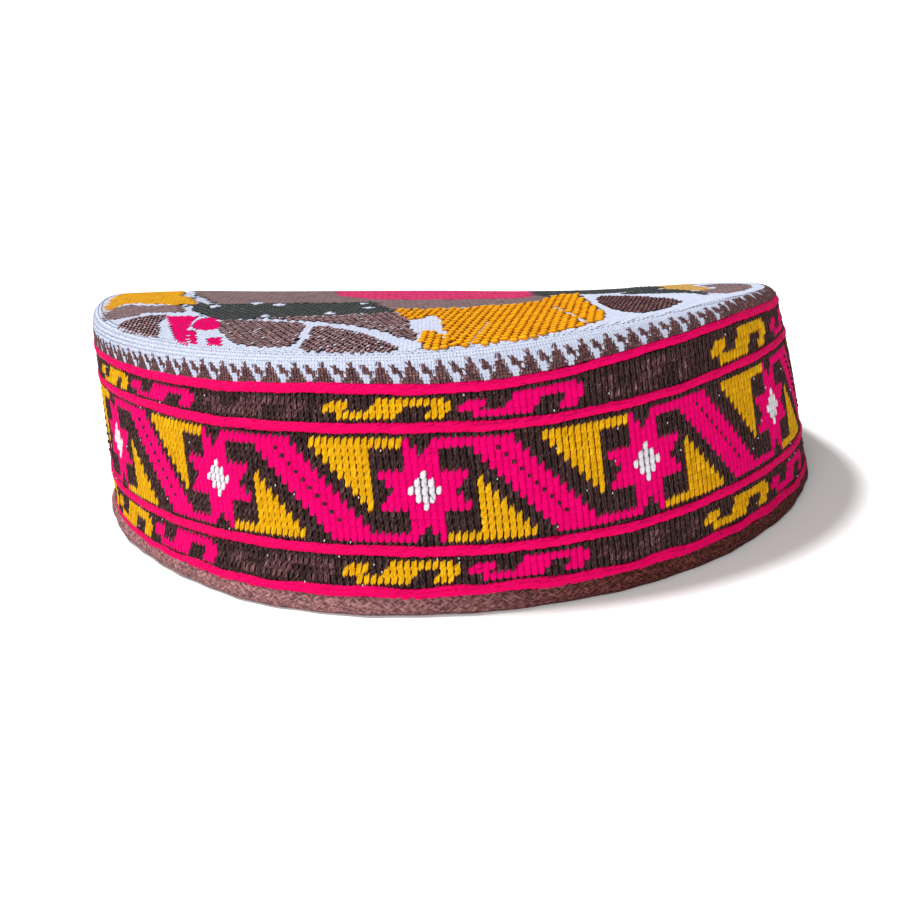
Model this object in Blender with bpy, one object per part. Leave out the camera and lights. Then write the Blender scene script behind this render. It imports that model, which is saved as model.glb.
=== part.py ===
# Gilgiti cap: a low pillbox cap of quilted cotton, in four sewn pieces.
# Metres, +Z up. The front faces -Y and the foot of the binding rests on z = 0.
import bpy
import bmesh
from math import asin, cos, pi, radians, sin, sqrt
from mathutils import Vector

MM = 0.001

# Driving sizes
MID_RADIUS = 93.0 * MM          # outer face, half way up
FLARE = 0.06                    # foot wider than the top, as a share of the radius
LEAN = Vector((-2.0, 4.1, 0.0)) * MM    # the top stands this far to the left and back of the foot
WALL = 3.0 * MM                 # quilted cloth with its thread
CROWN_THICK = 2.6 * MM
BINDING_PROUD = 0.4 * MM        # the binding stands out past the side on both faces
BINDING_ROUND = 0.5 * MM        # rounded foot of the binding
SEAM_GAP = 0.3 * MM             # between sewn pieces
SLUMP_INSET = 15.0 * MM         # how far the sunk back rolls in at full slump
SLUMP_LIFT = 0.3                # how much sooner the sunk back gains its height
FOLD_SOFTNESS = 6.0 * MM        # half width of the rounded cross fold in the crown

# Places along the wall, as shares of the way from the foot to the top edge
BINDING_TOP = 0.075
BINDING_ROUND_SHARE = 0.0125    # the rounded foot of the binding, along the wall
BORDER_START = 0.885
SHOULDER_START = 0.93
CORNER_SHARE = 0.97             # where the wall's lean is read for the inside of its top corner
SEAM_SHARE = 0.006              # the seam gap along the wall
SHOULDER_INSET = 3.4 * MM       # how far the rounded top edge reaches in over the crown
RIM_INSET = 4.4 * MM            # where the rim border gives way to the crown

# The wall round the head. Angle 0 is the front, positive angles go to the right (+X), 180 is the back.
# crest: height of the top edge; slump: share of the inward roll at the top; belly: outward bulge half way up;
# rim and foot: local shift of the radius at the top and at the foot. Degrees and millimetres.
WALL_COLUMNS = ("angle", "crest", "slump", "belly", "rim", "foot")
WALL_TABLE = [
    (-180.0, 33.0, 1.00, 8.0, 0.0, 0.0),
    (-157.5, 34.5, 0.95, 7.5, 0.0, 0.0),
    (-135.0, 39.0, 0.70, 5.0, 0.0, 0.0),
    (-112.5, 46.0, 0.25, 1.5, 0.0, -0.5),
    (-90.0, 52.0, 0.00, 0.0, 0.0, -2.0),
    (-67.5, 51.5, 0.00, 0.0, -0.6, -3.2),
    (-45.0, 50.5, 0.00, 0.0, -1.4, -3.2),
    (-22.5, 50.0, 0.00, 0.0, -0.2, 0.0),
    (0.0, 49.5, 0.00, 0.0, 0.3, 0.7),
    (22.5, 50.5, 0.00, 0.0, -0.6, 1.0),
    (45.0, 50.5, 0.00, 0.0, -0.6, 0.4),
    (67.5, 47.5, 0.10, 0.0, 0.8, 0.3),
    (90.0, 43.5, 0.30, 0.5, 0.5, -1.0),
    (112.5, 39.0, 0.60, 3.0, 0.0, -0.5),
    (135.0, 35.0, 0.85, 5.5, 0.0, 0.0),
    (157.5, 33.5, 0.97, 7.5, 0.0, 0.0),
]

# Height of the crown along its cross fold, at even places from the left end to the right end, in millimetres
FOLD_HEIGHTS = [52.4, 51.8, 50.0, 48.4, 46.8, 45.0, 43.8, 44.0, 43.8]
FOLD_HALF_LENGTH = 96.0 * MM

SIDE_LIMIT = 0.985              # how near its side ends the crown still reads the wall in front and behind
READING_STEP = 0.004            # half step, in radians and in shares, for the way a surface faces

# Mesh steps
ROUND_STEPS = 112
SIDE_STEPS = 7
CROWN_TOP_RINGS = (0.06, 0.16, 0.30, 0.45, 0.60, 0.75, 0.90)    # shares of the way to the middle
CROWN_UNDER_RINGS = (0.20, 0.45, 0.70, 0.90)

COLOURS = {
    "crown": (0.62, 0.30, 0.09),
    "rim_border": (0.78, 0.80, 0.86),
    "side_band": (0.78, 0.02, 0.17),
    "edge_binding": (0.15, 0.08, 0.07),
}
CLOTH_ROUGHNESS = 0.88


def curve_value(value_at, place):
    # Catmull-Rom curve through value_at(0), value_at(1) and so on
    step = int(place // 1)
    share = place - step
    before, start, end, after = (value_at(step + shift) for shift in (-1, 0, 1, 2))
    return 0.5 * (2 * start + (end - before) * share
                  + (2 * before - 5 * start + 4 * end - after) * share ** 2
                  + (3 * start - before - 3 * end + after) * share ** 3)


def wall_value(name, angle):
    column = WALL_COLUMNS.index(name)
    rows = len(WALL_TABLE)
    place = (angle / (2 * pi) + 0.5) * rows % rows
    return curve_value(lambda row: WALL_TABLE[row % rows][column], place)


def fold_height(across):
    last = len(FOLD_HEIGHTS) - 1
    place = (across / FOLD_HALF_LENGTH + 1) / 2 * last
    place = min(max(place, 0.0), last)
    return curve_value(lambda row: FOLD_HEIGHTS[min(max(row, 0), last)], place) * MM


def wall_point(angle, share):
    # Point of the outer wall: share 0 is the foot and 1 the top edge
    slump = wall_value("slump", angle)
    radius = MID_RADIUS * (1 + FLARE * (0.5 - share))
    radius += (wall_value("rim", angle) * share + wall_value("foot", angle) * (1 - share)) * MM
    radius += wall_value("belly", angle) * sin(pi * share) * MM
    radius -= SLUMP_INSET * slump * share ** 3
    rise = share + SLUMP_LIFT * slump * (share - share ** 3)
    height = wall_value("crest", angle) * MM * rise
    return Vector((radius * sin(angle), -radius * cos(angle), height)) + LEAN * (share - 0.5)


def wall_inward(angle, share):
    # Unit vector from the outer face of the wall into the cap
    across = wall_point(angle + READING_STEP, share) - wall_point(angle - READING_STEP, share)
    up = wall_point(angle, share + READING_STEP) - wall_point(angle, share - READING_STEP)
    return up.cross(across).normalized()


def crown_surface(x, y):
    # Height of the crown: two gently sloping halves that meet in a soft fold from left to right
    centre = LEAN / 2
    side = min(max((x - centre.x) / (MID_RADIUS * (1 - FLARE / 2)), -SIDE_LIMIT), SIDE_LIMIT)
    front = wall_point(asin(side), 1.0)
    back = wall_point(pi - asin(side), 1.0)
    middle = fold_height(x)
    front_slope = (middle - front.z) / (centre.y - front.y)
    back_slope = (back.z - middle) / (back.y - centre.y)
    reach = back.y - centre.y if y > centre.y else centre.y - front.y
    away = sqrt((y - centre.y) ** 2 + FOLD_SOFTNESS ** 2) - FOLD_SOFTNESS
    full = sqrt(reach ** 2 + FOLD_SOFTNESS ** 2) - FOLD_SOFTNESS
    return (middle + (front_slope + back_slope) / 2 * (y - centre.y)
            + (back_slope - front_slope) / 2 * away * reach / full)


def crown_point(angle, inset):
    # Point of the crown's top face, a distance in from the top edge towards the middle
    corner = wall_point(angle, 1.0)
    centre = LEAN / 2
    way = Vector((centre.x - corner.x, centre.y - corner.y, 0.0))
    share = inset / way.length
    place = corner + way * share
    edge_step = corner.z - crown_surface(corner.x, corner.y)
    place.z = crown_surface(place.x, place.y) + edge_step * (1 - share) ** 3
    return place


def binding_section(angle):
    foot = wall_point(angle, 0.0)
    top = wall_point(angle, BINDING_TOP)
    low = wall_point(angle, BINDING_ROUND_SHARE)
    inward = wall_inward(angle, BINDING_TOP / 2)
    level = Vector((inward.x, inward.y, 0.0)).normalized()
    return [
        top - inward * BINDING_PROUD,
        low - inward * BINDING_PROUD,
        foot + level * BINDING_ROUND / 2,
        foot + level * (WALL - BINDING_ROUND / 2),
        low + inward * (WALL + BINDING_PROUD),
        top + inward * (WALL + BINDING_PROUD),
    ]


def side_section(angle):
    start = BINDING_TOP + SEAM_SHARE
    end = BORDER_START - SEAM_SHARE
    shares = [start + (end - start) * step / SIDE_STEPS for step in range(SIDE_STEPS + 1)]
    outer = [wall_point(angle, share) for share in shares]
    inner = [wall_point(angle, share) + wall_inward(angle, share) * WALL for share in shares]
    return outer + inner[::-1]


def border_section(angle):
    start = wall_point(angle, BORDER_START)
    shoulder = wall_point(angle, SHOULDER_START)
    corner = wall_point(angle, 1.0)
    landing = crown_point(angle, SHOULDER_INSET)
    end = crown_point(angle, RIM_INSET)
    rounded = [shoulder * (1 - share) ** 2 + corner * 2 * share * (1 - share) + landing * share ** 2
               for share in (0.25, 0.5, 0.75)]
    inward = wall_inward(angle, CORNER_SHARE)
    down = Vector((0.0, 0.0, -1.0))
    between = (inward + down).normalized()
    inner_corner = corner + between * WALL / between.dot(down)
    return [start, shoulder] + rounded + [
        landing,
        end,
        end + down * CROWN_THICK,
        inner_corner,
        start + wall_inward(angle, BORDER_START) * WALL,
    ]


def crown_columns(angle):
    # Points of the crown at one angle: down the top face to near the middle, then back out underneath
    edge = RIM_INSET + SEAM_GAP
    corner = wall_point(angle, 1.0)
    reach = (Vector((corner.x, corner.y, 0.0)) - LEAN / 2).length - edge
    down = Vector((0.0, 0.0, -CROWN_THICK))
    top = [crown_point(angle, edge + reach * share) for share in (0.0,) + CROWN_TOP_RINGS]
    under = [crown_point(angle, edge + reach * share) + down for share in (0.0,) + CROWN_UNDER_RINGS]
    return top, under


def round_angles():
    return [2 * pi * step / ROUND_STEPS for step in range(ROUND_STEPS)]


def join_loops(mesh, first, second):
    for step in range(len(first)):
        following = (step + 1) % len(first)
        mesh.faces.new((first[step], first[following], second[following], second[step]))


def ring_mesh(section):
    # One closed ring: the same section loop at every angle, joined to the next
    mesh = bmesh.new()
    loops = [[mesh.verts.new(point) for point in section(angle)] for angle in round_angles()]
    for step, loop in enumerate(loops):
        join_loops(mesh, loop, loops[(step + 1) % len(loops)])
    return mesh


def crown_mesh():
    mesh = bmesh.new()
    columns = [crown_columns(angle) for angle in round_angles()]
    top = [[mesh.verts.new(column[0][ring]) for column in columns] for ring in range(len(CROWN_TOP_RINGS) + 1)]
    under = [[mesh.verts.new(column[1][ring]) for column in columns] for ring in range(len(CROWN_UNDER_RINGS) + 1)]
    for rings in (top, under):
        for outer, inner in zip(rings, rings[1:]):
            join_loops(mesh, outer, inner)
    join_loops(mesh, top[0], under[0])
    centre = LEAN / 2
    height = crown_surface(centre.x, centre.y)
    for rings, drop in ((top, 0.0), (under, CROWN_THICK)):
        middle = mesh.verts.new((centre.x, centre.y, height - drop))
        for step, corner in enumerate(rings[-1]):
            mesh.faces.new((corner, rings[-1][(step + 1) % ROUND_STEPS], middle))
    return mesh


def cloth_material(name):
    material = bpy.data.materials.new(name + "_cloth")
    material.use_nodes = True
    shader = material.node_tree.nodes["Principled BSDF"]
    shader.inputs["Base Color"].default_value = (*COLOURS[name], 1.0)
    shader.inputs["Roughness"].default_value = CLOTH_ROUGHNESS
    shader.inputs["Metallic"].default_value = 0.0
    material.diffuse_color = (*COLOURS[name], 1.0)
    return material


def middle_shift(meshes):
    # Moves the middle of the cap's box onto the Z axis
    places = [corner.co for mesh in meshes for corner in mesh.verts]
    x_values = [place.x for place in places]
    y_values = [place.y for place in places]
    return Vector((-(min(x_values) + max(x_values)) / 2, -(min(y_values) + max(y_values)) / 2, 0.0))


def add_piece(name, mesh, shift):
    bmesh.ops.translate(mesh, verts=mesh.verts, vec=shift)
    bmesh.ops.recalc_face_normals(mesh, faces=mesh.faces)
    for face in mesh.faces:
        face.smooth = True
    data = bpy.data.meshes.new(name)
    mesh.to_mesh(data)
    mesh.free()
    data.materials.append(cloth_material(name))
    piece = bpy.data.objects.new(name, data)
    bpy.context.scene.collection.objects.link(piece)
    return piece


def build_cap():
    for old in list(bpy.data.objects):
        bpy.data.objects.remove(old)
    meshes = {
        "crown": crown_mesh(),
        "rim_border": ring_mesh(border_section),
        "side_band": ring_mesh(side_section),
        "edge_binding": ring_mesh(binding_section),
    }
    shift = middle_shift(meshes.values())
    print("middle shift in mm", round(shift.x / MM, 3), round(shift.y / MM, 3))
    for name, mesh in meshes.items():
        add_piece(name, mesh, shift)


build_cap()
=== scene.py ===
# Gilgiti cap: a low pillbox cap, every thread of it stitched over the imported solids.
# Lengths are in millimetres until a mesh is made. Angle 0 is the front, positive angles go to the right.
import math
import bpy
import numpy as np
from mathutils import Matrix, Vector


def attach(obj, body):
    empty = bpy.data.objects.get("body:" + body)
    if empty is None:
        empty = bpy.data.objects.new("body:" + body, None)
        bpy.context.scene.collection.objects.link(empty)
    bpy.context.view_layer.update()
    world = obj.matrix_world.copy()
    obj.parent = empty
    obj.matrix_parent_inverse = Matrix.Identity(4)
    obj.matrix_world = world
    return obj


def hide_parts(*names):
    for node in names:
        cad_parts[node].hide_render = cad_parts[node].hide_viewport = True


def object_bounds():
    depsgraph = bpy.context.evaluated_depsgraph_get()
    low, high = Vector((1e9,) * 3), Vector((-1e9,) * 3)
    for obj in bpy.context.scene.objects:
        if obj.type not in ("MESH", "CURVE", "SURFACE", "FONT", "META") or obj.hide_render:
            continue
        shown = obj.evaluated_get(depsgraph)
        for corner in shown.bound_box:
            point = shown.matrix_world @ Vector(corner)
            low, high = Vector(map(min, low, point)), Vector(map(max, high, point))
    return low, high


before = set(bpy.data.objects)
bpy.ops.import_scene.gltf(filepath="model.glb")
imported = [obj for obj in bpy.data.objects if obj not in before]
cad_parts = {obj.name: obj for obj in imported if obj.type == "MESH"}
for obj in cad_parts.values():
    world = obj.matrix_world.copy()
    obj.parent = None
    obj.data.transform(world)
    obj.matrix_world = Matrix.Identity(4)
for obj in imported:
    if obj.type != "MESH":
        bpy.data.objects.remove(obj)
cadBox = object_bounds()
print("frame loaded:", sorted(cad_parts))

mm = 0.001
turn = 2 * math.pi

# The cap's own shape, by the same rules as its solids
cap = {
    "midRadius": 93.0, "flare": 0.06, "lean": np.array([-2.0, 4.1, 0.0]), "wall": 3.0, "crownThick": 2.6,
    "slumpInset": 15.0, "slumpLift": 0.3, "foldSoftness": 6.0, "foldHalfLength": 96.0,
    "bindingTop": 0.075, "borderStart": 0.885, "shoulderStart": 0.93, "shoulderInset": 3.4, "rimInset": 4.4,
    "boxShift": np.array([-1.45, -0.47, 0.0]), "seamGap": 0.3,
    "shareLength": 50.0, "slopeGain": 1.06,  # length of one share, and how much longer the wall is than high
}
# At each angle: crest height, slump, belly, shift of the top, shift of the foot
wallRows = np.array([
    (-180.0, 33.0, 1.00, 8.0, 0.0, 0.0),
    (-157.5, 34.5, 0.95, 7.5, 0.0, 0.0),
    (-135.0, 39.0, 0.70, 5.0, 0.0, 0.0),
    (-112.5, 46.0, 0.25, 1.5, 0.0, -0.5),
    (-90.0, 52.0, 0.00, 0.0, 0.0, -2.0),
    (-67.5, 51.5, 0.00, 0.0, -0.6, -3.2),
    (-45.0, 50.5, 0.00, 0.0, -1.4, -3.2),
    (-22.5, 50.0, 0.00, 0.0, -0.2, 0.0),
    (0.0, 49.5, 0.00, 0.0, 0.3, 0.7),
    (22.5, 50.5, 0.00, 0.0, -0.6, 1.0),
    (45.0, 50.5, 0.00, 0.0, -0.6, 0.4),
    (67.5, 47.5, 0.10, 0.0, 0.8, 0.3),
    (90.0, 43.5, 0.30, 0.5, 0.5, -1.0),
    (112.5, 39.0, 0.60, 3.0, 0.0, -0.5),
    (135.0, 35.0, 0.85, 5.5, 0.0, 0.0),
    (157.5, 33.5, 0.97, 7.5, 0.0, 0.0),
])
foldHeights = np.array([52.4, 51.8, 50.0, 48.4, 46.8, 45.0, 43.8, 44.0, 43.8])  # left end to right end


def curveThrough(values, place, closed):
    # smooth curve through evenly spaced values, read at any place between them
    step = np.floor(place).astype(int)
    share = place - step
    last = len(values) - 1
    picked = []
    for shift in (-1, 0, 1, 2):
        spot = (step + shift) % len(values) if closed else np.clip(step + shift, 0, last)
        picked.append(values[spot])
    before, start, end, after = picked
    return 0.5 * (2 * start + (end - before) * share
                  + (2 * before - 5 * start + 4 * end - after) * share ** 2
                  + (3 * start - before - 3 * end + after) * share ** 3)


def roundValue(values, angle):
    # a value given at even angles from the back, through the left, front and right
    place = (angle / turn + 0.5) * len(values) % len(values)
    return curveThrough(np.asarray(values), place, True)


def wallPoint(angle, share):
    # outer face of the wall: share 0 is the foot and 1 the top edge
    crest, slump, belly, rim, foot = (roundValue(wallRows[:, column], angle) for column in range(1, 6))
    radius = cap["midRadius"] * (1 + cap["flare"] * (0.5 - share)) + rim * share + foot * (1 - share)
    radius = radius + belly * np.sin(np.pi * share) - cap["slumpInset"] * slump * share ** 3
    rise = share + cap["slumpLift"] * slump * (share - share ** 3)
    place = np.stack([radius * np.sin(angle), -radius * np.cos(angle), crest * rise], -1)
    return place + cap["lean"] * (share - 0.5)[..., None]


def crownHeight(x, y):
    # two gently sloping halves that meet in a soft fold from left to right
    centreX, centreY = cap["lean"][:2] / 2
    side = np.clip((x - centreX) / (cap["midRadius"] * (1 - cap["flare"] / 2)), -0.985, 0.985)
    top = np.ones_like(side)
    front = wallPoint(np.arcsin(side), top)
    back = wallPoint(np.pi - np.arcsin(side), top)
    along = np.clip((x / cap["foldHalfLength"] + 1) / 2, 0, 1) * (len(foldHeights) - 1)
    middle = curveThrough(foldHeights, along, False)
    frontSlope = (middle - front[..., 2]) / (centreY - front[..., 1])
    backSlope = (back[..., 2] - middle) / (back[..., 1] - centreY)
    soft = cap["foldSoftness"]
    reach = np.where(y > centreY, back[..., 1] - centreY, centreY - front[..., 1])
    away = np.sqrt((y - centreY) ** 2 + soft ** 2) - soft
    full = np.sqrt(reach ** 2 + soft ** 2) - soft
    return (middle + (frontSlope + backSlope) / 2 * (y - centreY)
            + (backSlope - frontSlope) / 2 * away * reach / full)


def topPoint(x, y):
    # top face of the cap under any place in plan, rounded over near its edge
    centreX, centreY = cap["lean"][:2] / 2
    angle = np.arctan2(x - centreX, centreY - y)
    corner = wallPoint(angle, np.ones_like(angle))
    length = np.hypot(corner[..., 0] - centreX, corner[..., 1] - centreY)
    inset = length - np.hypot(x - centreX, y - centreY)
    edgeStep = corner[..., 2] - crownHeight(corner[..., 0], corner[..., 1])

    def flatHeight(depth):
        share = depth / length
        flatX = corner[..., 0] + (centreX - corner[..., 0]) * share
        flatY = corner[..., 1] + (centreY - corner[..., 1]) * share
        return crownHeight(flatX, flatY) + edgeStep * (1 - share) ** 3

    landing = np.full_like(inset, cap["shoulderInset"])
    bend = np.sqrt(np.clip(inset / cap["shoulderInset"], 0, 1))
    shoulder = wallPoint(angle, np.full_like(angle, cap["shoulderStart"]))[..., 2]
    rounded = (shoulder * (1 - bend) ** 2 + corner[..., 2] * 2 * bend * (1 - bend)
               + flatHeight(landing) * bend ** 2)
    height = np.where(inset < cap["shoulderInset"], rounded, flatHeight(inset))
    return np.stack([x, y, height], -1)


def rimPoint(angle, rise):
    # up the wall, over the rounded edge and in over the crown; rise counts on from the wall's share
    start = cap["shoulderStart"]
    landingRise = 2 - start
    wall = wallPoint(angle, np.minimum(rise, start))
    bend = np.clip((rise - start) / (landingRise - start), 0, 1)[..., None]
    corner = wallPoint(angle, np.ones_like(angle))
    centre = cap["lean"] / 2
    way = centre - corner
    way[..., 2] = 0
    way = way / np.linalg.norm(way, axis=-1, keepdims=True)
    flat = corner + way * cap["shoulderInset"]
    landing = topPoint(flat[..., 0], flat[..., 1])
    rounded = wall * (1 - bend) ** 2 + corner * 2 * bend * (1 - bend) + landing * bend ** 2
    beyond = np.clip(rise - landingRise, 0, None)[..., None] * cap["shareLength"]
    inner = flat + way * beyond
    inner = topPoint(inner[..., 0], inner[..., 1])
    return np.where((rise > landingRise)[..., None], inner, rounded)


def unit(vectors):
    return vectors / np.linalg.norm(vectors, axis=-1, keepdims=True)


def framesOn(surface, first, second, steps=(0.002, 0.004)):
    # the place, and unit vectors across, up and out of a surface of two values
    firstStep, secondStep = steps
    across = surface(first + firstStep, second) - surface(first - firstStep, second)
    up = surface(first, second + secondStep) - surface(first, second - secondStep)
    outward = unit(np.cross(across, up))
    up = unit(up)
    return surface(first, second), np.cross(up, outward), up, outward


def wallHeight(angle):
    # millimetres of wall for one whole share, near enough for spacing rows
    return roundValue(wallRows[:, 1], angle) * cap["slopeGain"]


def wrapped(angle):
    # the same angle, from minus to plus half a turn
    return (angle + np.pi) % turn - np.pi


def toMetres(points):
    return (np.asarray(points) + cap["boxShift"]) * mm


# Nodes: a socket that works like a number, and one method that adds any node
class Link:
    def __init__(self, wires, socket):
        self.wires = wires
        self.socket = socket

    def maths(self, operation, first, second):
        return self.wires.maths(operation, first, second)

    def __add__(self, other):
        return self.maths("ADD", self, other)

    def __radd__(self, other):
        return self.maths("ADD", other, self)

    def __sub__(self, other):
        return self.maths("SUBTRACT", self, other)

    def __rsub__(self, other):
        return self.maths("SUBTRACT", other, self)

    def __mul__(self, other):
        return self.maths("MULTIPLY", self, other)

    def __rmul__(self, other):
        return self.maths("MULTIPLY", other, self)

    def __truediv__(self, other):
        return self.maths("DIVIDE", self, other)

    def __pow__(self, other):
        return self.maths("POWER", self, other)


class Wires:
    def __init__(self, tree):
        self.tree = tree

    def node(self, kind, settings=None, sockets=None, output=0):
        made = self.tree.nodes.new(kind)
        for name, value in (settings or {}).items():
            setattr(made, name, value)
        for name, value in (sockets or {}).items():
            if isinstance(value, Link):
                self.tree.links.new(value.socket, made.inputs[name])
            else:
                made.inputs[name].default_value = value
        return Link(self, made.outputs[output])

    def store(self, geometry, kind, domain, name, value):
        return self.node("GeometryNodeStoreNamedAttribute", {"data_type": kind, "domain": domain},
                         {"Geometry": geometry, "Name": name, "Value": value})

    def maths(self, operation, first, second):
        return self.node("ShaderNodeMath", {"operation": operation}, {0: first, 1: second})

    def mix(self, factor, first, second):
        return self.node("ShaderNodeMix", {"data_type": "RGBA"}, {0: factor, 6: first, 7: second}, 2)

    def smooth(self, value, low, high):
        return self.node("ShaderNodeMapRange", {"interpolation_type": "SMOOTHSTEP"},
                         {0: value, 1: low, 2: high})

    def vectors(self, operation, first, second):
        other = "Scale" if operation == "SCALE" else 1
        return self.node("ShaderNodeVectorMath", {"operation": operation}, {0: first, other: second})

    def part(self, vector, axis):
        return self.node("ShaderNodeSeparateXYZ", None, {0: vector}, axis)

    def join(self, x, y, z):
        return self.node("ShaderNodeCombineXYZ", None, {0: x, 1: y, 2: z})

    def value(self, colour, value):
        return self.node("ShaderNodeHueSaturation", None, {"Value": value, "Color": colour})

    def noise(self, vector, scale, detail=2.0, rough=0.5):
        return self.node("ShaderNodeTexNoise", None,
                         {"Vector": vector, "Scale": scale, "Detail": detail, "Roughness": rough})


daylight = 1.5  # how much light falls on the front of the cap


def colour(red, green, blue):
    # the paint that shows as this screen colour, 0 to 255, on the lit side
    parts = [part / 255 for part in (red, green, blue)]
    linear = [part / 12.92 if part <= 0.04045 else ((part + 0.055) / 1.055) ** 2.4 for part in parts]
    return tuple(part / daylight for part in linear) + (1.0,)


def newPaint(name, rough, shine):
    material = bpy.data.materials.new(name)
    material.use_nodes = True
    wires = Wires(material.node_tree)
    shader = material.node_tree.nodes["Principled BSDF"]
    shader.inputs["Roughness"].default_value = rough
    shader.inputs["Specular IOR Level"].default_value = shine
    return material, wires, shader


def joinPaint(wires, shader, base, height, bumpMm, rough=None):
    wires.tree.links.new(base.socket, shader.inputs["Base Color"])
    bump = wires.node("ShaderNodeBump", None, {"Strength": 1.0, "Distance": bumpMm * mm, "Height": height})
    wires.tree.links.new(bump.socket, shader.inputs["Normal"])
    if rough is not None:
        wires.tree.links.new(rough.socket, shader.inputs["Roughness"])


# Thread colours: lit top of the stitch, its shaded side, the groove between stitches as painted shade, and a
# stray second fibre.
# Then the strength of stray fibres, unevenness and plies, and the shine.
threads = {
    "pink": ((246, 0, 116), (240, 0, 106), (212, 0, 86), (252, 16, 130), 0.3, 0.1, 0.1, 0.03),
    "stripePink": ((250, 0, 108), (246, 0, 96), (216, 0, 74), (255, 26, 126), 0.4, 0.12, 0.1, 0.05),
    "yellow": ((255, 202, 20), (252, 181, 4), (203, 111, 0), (255, 218, 66), 0.6, 0.2, 0.3, 0.06),
    "gold": ((255, 194, 12), (254, 180, 4), (230, 136, 0), (255, 206, 40), 0.3, 0.12, 0.1, 0.1),
    "amber": ((236, 172, 18), (230, 162, 14), (206, 134, 6), (246, 192, 64), 0.4, 0.2, 0.0, 0.06),
    "straw": ((214, 170, 96), (206, 160, 84), (176, 128, 58), (230, 192, 128), 0.4, 0.2, 0.0, 0.06),
    "charcoal": ((100, 70, 66), (71, 47, 47), (24, 13, 16), (140, 114, 114), 0.75, 0.6, 0.5, 0.06),
    "brown": ((126, 86, 88), (90, 55, 59), (38, 20, 24), (184, 142, 140), 0.8, 0.8, 0.5, 0.06),
    "treeBrown": ((138, 96, 97), (104, 68, 70), (52, 32, 35), (208, 168, 168), 0.8, 0.5, 0.3, 0.06),
    "dust": ((142, 117, 119), (134, 109, 111), (116, 92, 94), (158, 134, 134), 0.5, 0.3, 0.0, 0.04),
    "mauve": ((204, 164, 166), (170, 130, 134), (72, 46, 50), (244, 224, 222), 0.6, 0.5, 0.2, 0.06),
    "rose": ((224, 62, 118), (214, 50, 106), (194, 40, 92), (238, 116, 154), 0.5, 0.15, 0.0, 0.04),
    "white": ((252, 246, 250), (240, 232, 240), (190, 178, 194), (255, 255, 255), 0.4, 0.12, 0.2, 0.08),
    "rimWhite": ((218, 225, 247), (212, 219, 242), (194, 201, 228), (242, 246, 255), 0.4, 0.08, 0.05, 0.08),
    "bottleGreen": ((76, 79, 78), (64, 67, 67), (48, 50, 51), (104, 110, 108), 0.5, 0.3, 0.0, 0.06),
}
# Fibres wind round the strand; each strand, by its shade, has its own stretch of them
fibre = {"round": 7.0, "lengthwise": (4.0, 2.4), "shift": (31.0, 17.0, 7.0), "plies": (4.0, 0.5, 0.4),
         "rough": 0.66, "roughSwing": 0.25, "bump": 0.2}


def threadPaint(name):
    *colours, stray, uneven, plyDepth, shine = threads[name]
    top, side, grooveShade, fleck = (colour(*shades) for shades in colours)
    material, wires, shader = newPaint(name + "Thread", 0.75, shine)
    crest = wires.node("ShaderNodeAttribute", {"attribute_name": "crest"}, None, "Fac")
    shade = wires.node("ShaderNodeAttribute", {"attribute_name": "shade"}, None, "Fac")
    strand = wires.node("ShaderNodeUVMap", {"uv_map": "strand"})
    around, length = wires.part(strand, "X"), wires.part(strand, "Y")
    first, second, third = fibre["shift"]
    slow, slower = fibre["lengthwise"]
    twist = wires.join(around * fibre["round"] + length * slow + shade * first,
                       length * slower + shade * second, shade * third)
    fibres = wires.noise(twist, 1.6, 3.0, 0.65)
    tufts = wires.noise(twist, 0.5, 1.0)
    # plies lie side by side on the face of every stitch
    perTurn, drift, offset = fibre["plies"]
    plies = wires.maths("SINE", (around * perTurn + length * drift + shade * offset) * turn, 0.0) * plyDepth
    # painted light and shade: by its crest height each stitch goes from the lit top colour down its side to
    # the groove colour, a painted shade between stitches
    base = wires.mix(wires.smooth(crest, 0.05, 0.5), grooveShade, side)
    base = wires.mix(wires.smooth(crest, 0.45, 0.95), base, top)
    base = wires.mix(wires.smooth(fibres, 0.52, 0.70) * stray, base, fleck)
    # dark fibres, and painted shade in the troughs between fibres and plies, in the groove colour
    base = wires.mix(wires.smooth(fibres + plies * 0.2, 0.50, 0.34) * (stray + 0.1), base, grooveShade)
    base = wires.value(base, 1.0 + (shade - 0.5) * uneven + (tufts - 0.5) * uneven)
    rough = fibre["rough"] + fibres * fibre["roughSwing"]
    joinPaint(wires, shader, base, fibres + plies, fibre["bump"], rough)
    return material


def clothPaint(name, light, dark, threadMm):
    # plain weave on the piece's own map, which is in millimetres
    material, wires, shader = newPaint(name, 0.9, 0.1)
    place = wires.node("ShaderNodeUVMap", {"uv_map": "cloth"})
    wobble = wires.noise(place, 0.35)
    thread = {"Vector": place, "Scale": 0.314 / threadMm, "Distortion": 0.6,
              "Detail": 2.0, "Detail Scale": 1.5}
    warp = wires.node("ShaderNodeTexWave", {"bands_direction": "X"}, thread, "Fac")
    weft = wires.node("ShaderNodeTexWave", {"bands_direction": "Y"}, thread, "Fac")
    weave = warp * 0.5 + weft * 0.5
    fuzz = wires.noise(wires.vectors("MULTIPLY", place, (5.0, 5.0, 1.0)), 1.0, 4.0, 0.65)
    base = wires.mix(wires.smooth(weave + (fuzz - 0.5) * 0.6, 0.25, 0.75), colour(*dark), colour(*light))
    joinPaint(wires, shader, wires.value(base, 0.9 + wobble * 0.2), weave + fuzz * 0.4, 0.15)
    return material


# The binding's braid: its gap, body and stray hair, first round the back and left, then from the front round
# the right, where the darker set is painted shade on the side away from the light.
# The two pairs of places below, on its map in millimetres from the back, are where that painted shade comes
# in and goes out again.
braid = {"wornAndLit": ((106, 70, 72), (178, 126, 126), (220, 178, 176)),
         "shadedRight": ((58, 26, 24), (112, 60, 54), (152, 100, 90)),
         "shadeFrom": (262.0, 328.0), "shadeTo": (420.0, 560.0), "hair": 0.45, "lean": 0.5, "bump": 0.5}


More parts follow.
